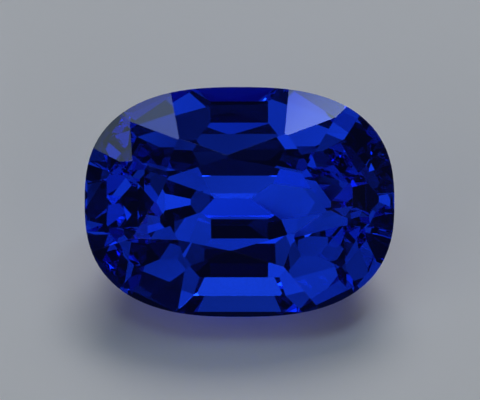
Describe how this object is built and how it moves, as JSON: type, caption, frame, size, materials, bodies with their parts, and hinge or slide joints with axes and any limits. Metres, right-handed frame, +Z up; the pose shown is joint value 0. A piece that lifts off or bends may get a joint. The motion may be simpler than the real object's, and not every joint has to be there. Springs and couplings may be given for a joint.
{
  "type": "cut sapphire",
  "caption": "Loose cushion-cut blue sapphire with a faceted crown and a stepped pavilion, lying on one of its facets.",
  "frame": {"origin": "centre of the bounding box's bottom face, on the surface the stone lies on", "axes": "+X along the stone's length, +Z up, and the table leans toward -Y"},
  "size_m": [0.0124, 0.008, 0.0067],
  "materials": {
    "sapphire": "polished, transparent"
  },
  "bodies": {
    "root": {"sapphire": "sapphire"}
  },
  "joints": []
}
